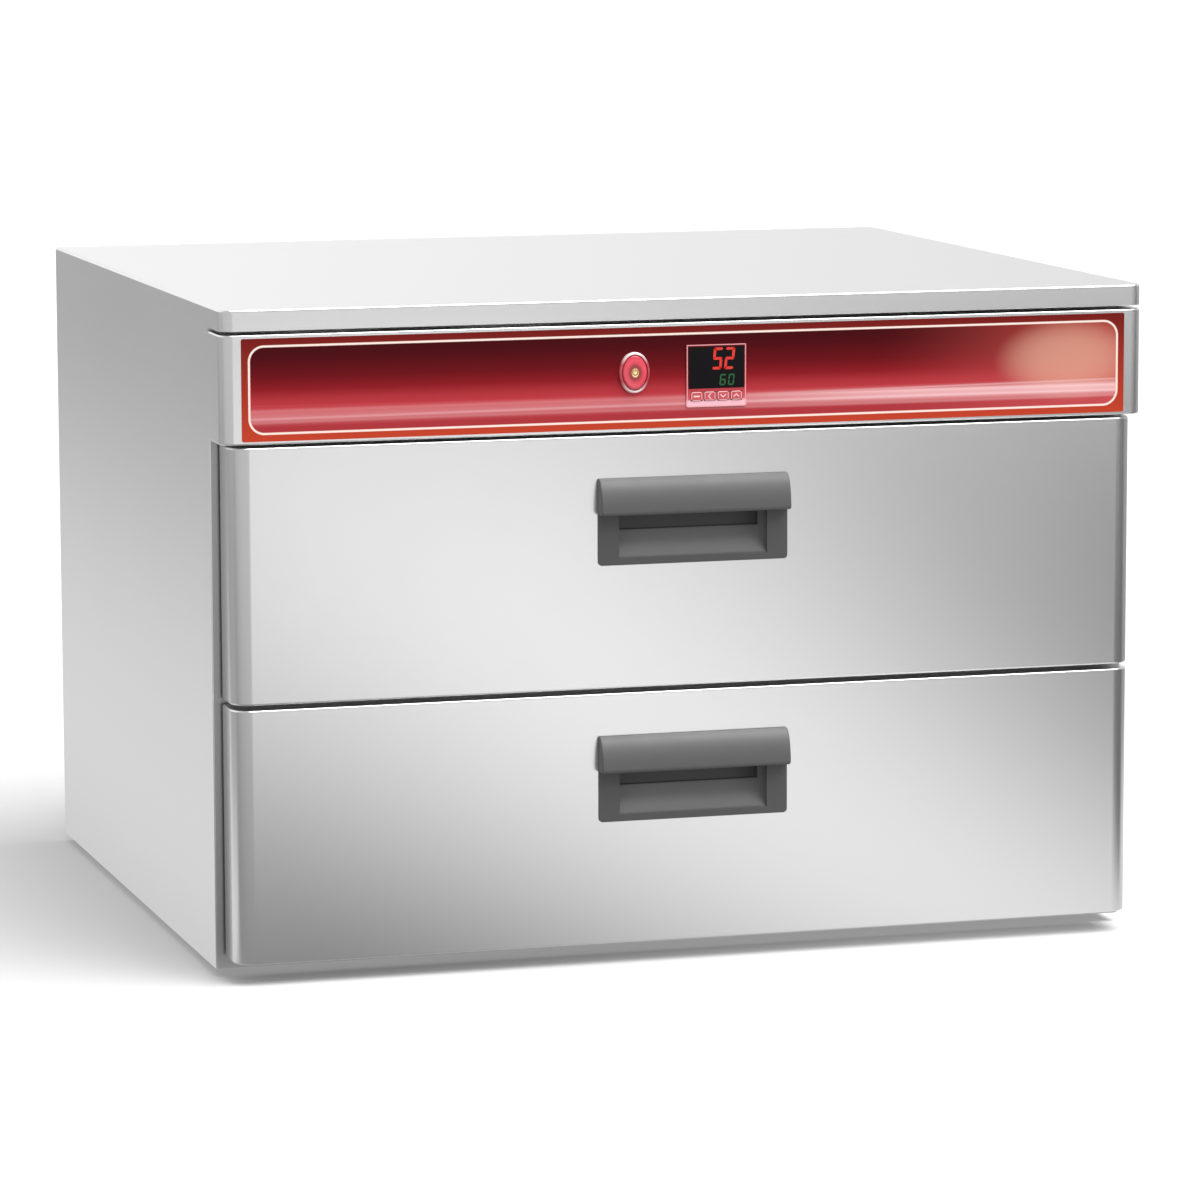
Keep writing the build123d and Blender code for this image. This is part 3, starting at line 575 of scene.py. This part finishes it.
cap_finish = Finish("button_cap", screen(214, 70, 78), 0.2)
cap_x = (cap_finish.axis("X") - button_x * MM) / MM
cap_z = (cap_finish.axis("Z") - button_z * MM) / MM
cap_reach = ((cap_x * cap_x) * 1.55 + cap_z * cap_z).math("SQRT")
glow = cap_finish.node("ShaderNodeValToRGB", {"stops": [
    (0.0, screen(248, 226, 160)), (0.24, screen(246, 214, 150)), (0.30, screen(150, 52, 56)),
    (0.46, screen(158, 48, 56)), (0.56, screen(214, 62, 78)), (0.80, screen(236, 80, 98)),
    (1.0, screen(206, 56, 74))]}, {0: cap_reach / 12.5})
sign_x, sign_z = cap_x, cap_z - 0.3
sign_reach = (sign_x * sign_x + sign_z * sign_z).math("SQRT")
gap = abs(sign_x).below(0.75, 0.2) * (sign_z * -1.0).below(0.0, 0.2)
bow = abs(sign_reach - 2.0).below(0.45, 0.2) * (1.0 - gap)
bar = abs(sign_x).below(0.35, 0.2) * abs(sign_z - 1.7).below(1.5, 0.2)
sign = bow.math("MAXIMUM", bar)
cap_finish.feed("Base Color", cap_finish.mix(sign, glow, screen(120, 60, 40)))
cap_finish.feed("Coat Weight", 0.3)
lit_middle = cap_finish.mix(cap_reach.below(3.4, 0.6), (0.0, 0.0, 0.0), screen(247, 206, 138))
cap_finish.feed("Emission Color", lit_middle)
cap_finish.feed("Emission Strength", 0.15)
cap_profile = [(2.5, -310.4), (2.5, -317.8)]
cap_profile += [(2.5 + 1.6 * (1 - cos(radians(a))), -317.8 - 1.6 * sin(radians(a)))
                for a in (22, 45, 68, 90)]
cap_profile += [(5.6, -319.62), (7.6, -319.76)]
mesh_piece("button_cap", *stacked(button_loops(cap_profile)), "power_button_cap", "button_plastic",
           cap_finish.material, ["power_button"], sharp=50.0)


# ---- drawer fronts ----
# Each is a stainless skin with wide rounded vertical edges, filled with a wool
# core, closed at the rear by an inner pan and sealed by a soft gasket.

drawers = {"upper": 215.5, "lower": 16.5}
gasket_rubber = Finish("gasket_rubber", grey(40), 0.7)
gasket_dust = gasket_rubber.noise(gasket_rubber.place(), 260.0, 4.0)
gasket_rubber.feed("Base Color", gasket_rubber.mix(gasket_dust, grey(32), grey(52)))
gasket_rubber.bump(gasket_dust, 0.00004)

pull_up = 95.5
for drawer, bottom in drawers.items():
    front = channel_skin(drawer + "_front_skin", 362.0, -316.0, -278.0, 15.0, bottom, bottom + 195.5, 1.2,
                         drawer + "_drawer", [drawer + "_drawer_front"])
    cut(front, *box_points(-62.0, 62.0, -320, -305, bottom + pull_up + 1.8, bottom + pull_up + 65.2))


def ring_line(half_x, low, high, radius, steps=6):
    """A rounded rectangle in the X and Z plane, as points."""
    line = arc((half_x - radius, high - radius), radius, 0, 90, steps)
    line += arc((-half_x + radius, high - radius), radius, 90, 180, steps)
    line += arc((-half_x + radius, low + radius), radius, 180, 270, steps)
    line += arc((half_x - radius, low + radius), radius, 270, 360, steps)
    return line


def gasket(drawer, bottom):
    """A soft lip of rounded section, run round the inner pan."""
    section = [(0.0, -278.0), (7.0, -278.0), (7.6, -277.0), (6.6, -275.2), (4.6, -274.5), (2.4, -274.6),
               (0.9, -275.6), (0.4, -277.0)]
    loops = []
    for inset, y in section + section[:1]:
        rise = inset * 0.68
        line = ring_line(357.5 - inset, bottom + 2.2 + rise, bottom + 193.3 - rise, 9.0 - inset * 0.5)
        loops.append([(x, y, z) for x, z in line])
    points, faces = stacked(loops, caps=(False, False))
    mesh_piece(drawer + "_door_gasket", points, faces, drawer + "_drawer", "soft_rubber",
               gasket_rubber.material, [drawer + "_drawer_gasket"], sharp=60.0)


for drawer, bottom in drawers.items():
    gasket(drawer, bottom)
dress(inner_steel, "upper_drawer_back", "lower_drawer_back")


# ---- recessed pulls ----
# One dark grey moulding each, snapped into the drawer front: rim plate, a curved
# hood over the mouth, and a recess whose floor slopes up to the back.

pull_plastic = Finish("pull_moulding", grey(98), 0.5)
pull_grain = pull_plastic.noise(pull_plastic.place(), 1400.0, 3.0)
pull_cloud = pull_plastic.noise(pull_plastic.place(), 60.0, 2.0)
pull_tone = pull_grain * 0.6 + pull_cloud * 0.4
# Painted light and shade by depth from the hood's front. The hood's lip is painted darker as shade, and the
# rim plate has a darker band. The recess floor is painted pale as if lit, growing paler towards the back,
# and the recess's back wall is painted dark as shade.
pull_depth = (pull_plastic.axis("Y") + 0.328) / 0.038
pull_painted_light_and_shade = pull_plastic.node("ShaderNodeValToRGB", {"stops": [
    (0.0, grey(86)), (0.12, grey(104)), (0.262, grey(102)), (0.278, grey(76)), (0.30, grey(76)),
    (0.34, grey(108)), (0.90, grey(180)), (0.935, grey(70)), (1.0, grey(66))]}, {0: pull_depth})
pull_plastic.feed("Base Color", pull_plastic.mix(pull_tone * 0.2, pull_painted_light_and_shade, grey(70)))
pull_plastic.feed("Roughness", pull_cloud * 0.12 + 0.42)
pull_plastic.bump(pull_grain, 0.00003)
dress(pull_plastic.material, "upper_pull_handle", "lower_pull_handle")


# ---- insulation ----
# Mineral wool slabs between the chamber and the shell, and in the drawer fronts.

wool = Finish("mineral_wool", screen(196, 178, 120), 0.95)
fibres = wool.noise(wool.stretched(1.0, 1.0, 8.0), 90.0, 6.0)
wool.feed("Base Color", wool.mix(fibres, screen(168, 148, 92), screen(214, 198, 146)))
wool.bump(fibres, 0.0008)
dress(wool.material, "side_insulation", "rear_insulation", "top_insulation", "base_insulation",
      "upper_drawer_core", "lower_drawer_core")


# ---- slides, carriers and pans ----
# Zinc-plated slide members, welded stainless carriers behind the fronts, and
# deep-drawn gastronorm pans that hang by their rims.

zinc = satin_steel("zinc_plate", (0.56, 0.58, 0.60), 0.36, (60.0, 1.0, 60.0))
for drawer in drawers:
    dress(zinc, drawer + "_slide_outer", drawer + "_slide_middle", drawer + "_slide_inner")
    dress(inner_steel, drawer + "_pan_carrier")
dress(zinc, "control_tray", "safety_cutout")

pan_steel = satin_steel("pan_stainless", (0.74, 0.74, 0.735), 0.20, (1.0, 1.0, 30.0))


def pan_line(half_x, half_y, radius, z, steps=8):
    """A rounded rectangle in plan at one height."""
    line = arc((half_x - radius, half_y - radius), radius, 0, 90, steps)
    line += arc((-half_x + radius, half_y - radius), radius, 90, 180, steps)
    line += arc((-half_x + radius, -half_y + radius), radius, 180, 270, steps)
    line += arc((half_x - radius, -half_y + radius), radius, 270, 360, steps)
    return [(x, y, z) for x, y in line]


def pan_profile(thick):
    """Insets from the rim and heights under it, down one face of the pan's sheet."""
    wall = 14.5 + thick
    profile = [(wall - 2.0 + 2.0 * sin(radians(a)), -2.0 + 2.0 * cos(radians(a)) - thick)
               for a in (0, 30, 60, 90)]
    low = -100.0 + (1.0 - thick)
    for a in (0, 18, 36, 54, 72, 90):
        slope = wall + 6.1 + 13.0 * (1 - cos(radians(a)))
        profile.append((slope, low + 13.0 - 13.0 * sin(radians(a))))
    return profile


def food_pan(name, body, middle_x, rim_z, node):
    """One pan: turned-down rim edge, flat rim, tapered wall, rounded base."""
    half_x, half_y, middle_y = 162.5, 265.0, -8.0
    outer = [(0.0, -5.0), (0.0, -0.8), (0.25, -0.25), (0.8, 0.0)] + pan_profile(1.0)
    under = [(1.0, -5.0), (1.0, -1.6), (1.3, -1.1), (1.8, -1.0)] + pan_profile(0.0)
    loops = []
    for inset, drop in list(reversed(under)) + outer:
        radius = max(30.0 - inset, 4.0) if inset < 5 else 46.0 - (inset - 14.5) * 0.8
        radius = max(radius, 14.0)
        line = pan_line(half_x - inset, half_y - inset, radius, rim_z + drop)
        loops.append([(middle_x + x, middle_y + y, z) for x, y, z in line])
    return mesh_piece(name, *stacked(loops), body, "stainless", pan_steel, [node], sharp=50.0)


for drawer, bottom in drawers.items():
    for side, middle in (("left", -164.0), ("right", 164.0)):
        food_pan(f"{drawer}_{side}_deep_pan", drawer + "_drawer", middle, bottom + 165.0,
                 f"{drawer}_{side}_pan")


# ---- heating elements and electrics ----
# Sheathed heating rods under the pans, the relay, terminals, cut-out and probe.

sheath = Finish("element_sheath", grey(92), 0.42, 0.9)
heat_marks = sheath.noise(sheath.place(), 30.0, 4.0)
sheath.feed("Base Color", sheath.mix(heat_marks, screen(84, 74, 66), screen(128, 122, 118)))
sheath.bump(sheath.noise(sheath.place(), 700.0, 2.0), 0.00002)


def heating_rod(drawer, bottom):
    """A round rod bent back and forth, both ends through the rear wall."""
    runs = [72.0 * i - 108.0 for i in range(4)]
    line = []
    for i, x in enumerate(runs):
        rear = 312.0 if i in (0, 3) else 225.0
        ends = [(x, rear), (x, -205.0)] if i % 2 == 0 else [(x, -205.0), (x, rear)]
        line += ends
        if i < 3:
            centre, side = (x + 36.0, ends[1][1]), 1 if i % 2 else -1
            line += [(centre[0] - 36.0 * cos(radians(a)), centre[1] + side * 36.0 * sin(radians(a)))
                     for a in range(15, 180, 15)]
    curve = bpy.data.curves.new(drawer + "_heating_rod", "CURVE")
    curve.dimensions = "3D"
    curve.bevel_depth = 3.25 * MM
    curve.bevel_resolution = 5
    curve.use_fill_caps = True
    spline = curve.splines.new("POLY")
    spline.points.add(len(line) - 1)
    for point, (x, y) in zip(spline.points, line):
        point.co = (MM * x, MM * y, MM * (bottom + 30.0), 1.0)
    made = bpy.data.objects.new("rod_curve", curve)
    bpy.context.scene.collection.objects.link(made)
    bpy.context.view_layer.update()
    mesh = bpy.data.meshes.new_from_object(made.evaluated_get(bpy.context.evaluated_depsgraph_get()))
    bpy.data.objects.remove(made)
    finish_piece(bpy.data.objects.new(drawer + "_heating_rod", mesh), "cabinet",
                 sheath.material, [drawer + "_heating_element"], 40.0)


for drawer, bottom in drawers.items():
    heating_rod(drawer, bottom)

dress(inner_steel, "temperature_probe")
dress(dark_plastic.material, "heater_relay", "terminal_block", "power_inlet", "controller_clamp")


# ---- fixings and pads ----
# Pan-head screws down the edges of the back sheet, and rubber pads underneath.

dress(inner_steel, "cabinet_screws")
pad_rubber = Finish("pad_rubber", grey(34), 0.8)
pad_marks = pad_rubber.noise(pad_rubber.place(), 300.0, 3.0)
pad_rubber.feed("Base Color", pad_rubber.mix(pad_marks, grey(26), grey(46)))
pad_rubber.bump(pad_marks, 0.00005)
dress(pad_rubber.material, "rubber_pads")


# ---- floor, light and camera ----
# A plain pale floor under a white studio. One soft sun from the upper right
# front models the pulls, and a board of light on the floor shades the steel.

def sheet_on_floor(name, low, high, height, material):
    """A flat rectangle between two corners of the floor."""
    mesh = bpy.data.meshes.new(name)
    (x0, y0), (x1, y1) = low, high
    corners = [(x0, y0, height), (x1, y0, height), (x1, y1, height), (x0, y1, height)]
    mesh.from_pydata(corners, [], [(0, 1, 2, 3)])
    mesh.materials.append(material)
    made = bpy.data.objects.new(name, mesh)
    bpy.context.scene.collection.objects.link(made)
    return made


paper = Finish("pale_paper", (0.70, 0.70, 0.70), 0.9)
paper_cloud = paper.noise(paper.place(), 3.0, 3.0)
paper.feed("Base Color", paper.mix(paper_cloud, (0.695, 0.695, 0.695), (0.705, 0.705, 0.705)))
paper.feed("Specular IOR Level", 0.0)
floor = sheet_on_floor("floor", (-40.0, -40.0), (40.0, 40.0), 0.0, paper.material)
floor.visible_diffuse = False


def board_light(board):
    """Brightness of the board: a bright lane out to the front, darker to both sides."""
    x, y = board.axis("X"), board.axis("Y")
    out = (-0.316 - y).math("MAXIMUM", 0.0)
    centre = out * out * 0.018 + out * 0.045 + 0.28
    aside = abs(x - centre) / (out * 0.04 + 0.33)
    lane = aside.between(1.75, 0.0) * (out.math("MINIMUM", 2.0) * 0.15 + 0.74)
    lane = lane + (x - centre).between(0.45, -0.45) * (out.math("MINIMUM", 1.6) * 0.20 + 0.12) + 0.15
    lane = board.blend(out.between(3.7, 4.8), lane, x.between(1.5, 2.2) * 0.45 + 0.60)
    away = (abs(x) - 0.37).math("MAXIMUM", 0.0)
    behind = away.between(1.15, 0.22) * 0.44 + 0.36 - away.between(0.12, 0.0) * 0.08
    return board.blend(y.between(-0.36, -0.24), lane, behind)


board = Finish("light_board", (0.0, 0.0, 0.0), 1.0)
board.feed("Specular IOR Level", 0.0)
shade = board_light(board)
board.feed("Emission Color", board.node("ShaderNodeCombineColor", None, {0: shade, 1: shade, 2: shade}))
board.feed("Emission Strength", 1.0)
light_board = sheet_on_floor("light_board", (-12.0, -12.0), (12.0, 12.0), 0.001, board.material)
light_board.visible_camera = False
light_board.visible_diffuse = False
light_board.visible_transmission = False
light_board.visible_shadow = False

world = bpy.data.worlds.new("studio")
bpy.context.scene.world = world
world.use_nodes = True
studio = ShaderTree(world.node_tree)
toward = studio.node("ShaderNodeTexCoord", out="Generated")
split = studio.node("ShaderNodeSeparateXYZ", None, {0: toward})
east, north, up = (Wire(studio, split.socket.node.outputs[name]) for name in ("X", "Y", "Z"))
mirrored = north.between(-0.4, 0.3) * 0.48 + 0.60 - east.between(0.10, 0.50) * 0.30
soft = up.between(-0.5, 0.9) * 0.50 + 0.26
soft = soft + north.between(0.2, -0.9) * 0.22 + east.between(-0.9, 0.3) * 0.10
camera_ray = studio.node("ShaderNodeLightPath", out="Is Camera Ray")
glossy_ray = studio.node("ShaderNodeLightPath", out="Is Glossy Ray")
level = studio.blend(camera_ray, studio.blend(glossy_ray, soft, mirrored), 1.0)
background = world.node_tree.nodes["Background"]
background.inputs["Color"].default_value = (1.0, 1.0, 1.0, 1.0)
studio.plug(background.inputs["Strength"], level)

sun = bpy.data.lights.new("soft_sun", "SUN")
sun.energy = 3.0
sun.angle = radians(50.0)
sun_lamp = bpy.data.objects.new("soft_sun", sun)
sun_lamp.rotation_euler = Vector((-0.40, 0.42, -1.0)).to_track_quat("-Z", "Y").to_euler()
bpy.context.scene.collection.objects.link(sun_lamp)

camera_data = bpy.data.cameras.new("camera")
camera_data.lens = 166.1
camera_data.sensor_width = 36.0
camera = bpy.data.objects.new("camera", camera_data)
bpy.context.scene.collection.objects.link(camera)
bpy.context.scene.camera = camera
yaw, pitch, roll = radians(16.443), radians(-8.084), radians(-0.167)
forward = Vector((sin(yaw) * cos(pitch), cos(yaw) * cos(pitch), sin(pitch)))
right = Vector((cos(yaw), -sin(yaw), 0.0))
above = right.cross(forward)
tilted_right = right * cos(roll) + above * sin(roll)
tilted_above = above * cos(roll) - right * sin(roll)
turn = Matrix((tilted_right, tilted_above, -forward)).transposed()
camera.matrix_world = Matrix.Translation((-1.2615, -4.338, 0.8803)) @ turn.to_4x4()

bpy.context.scene.view_settings.view_transform = "Standard"
